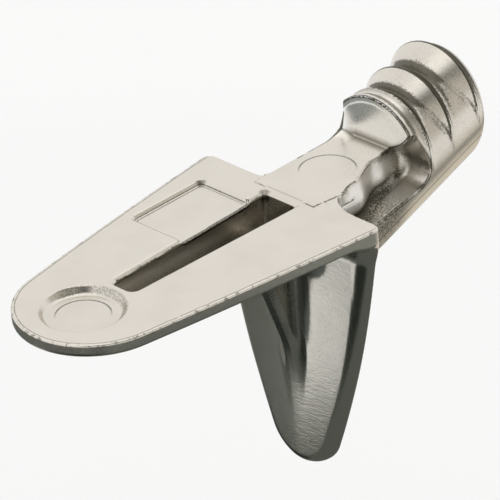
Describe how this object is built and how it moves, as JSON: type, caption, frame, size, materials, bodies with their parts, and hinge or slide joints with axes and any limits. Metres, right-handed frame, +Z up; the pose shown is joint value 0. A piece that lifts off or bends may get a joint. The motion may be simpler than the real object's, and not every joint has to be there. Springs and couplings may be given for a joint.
{
  "type": "shelf support pin",
  "caption": "Cast shelf support pin: slotted tongue-shaped plate, leg that lies against the cabinet side, and a tilted plug with ribs on top",
  "frame": {"origin": "the middle of the corner where the plane of the plate's top meets the plane of the leg's back, which lies against the cabinet side", "axes": "+X along the cabinet side, +Y into the cabinet side, the way the plug points, +Z up"},
  "size_m": [0.01, 0.0238, 0.0162],
  "materials": {
    "casting": "satin nickel plate on a zinc casting"
  },
  "bodies": {
    "root": {"shelf_support": "casting"}
  },
  "joints": []
}
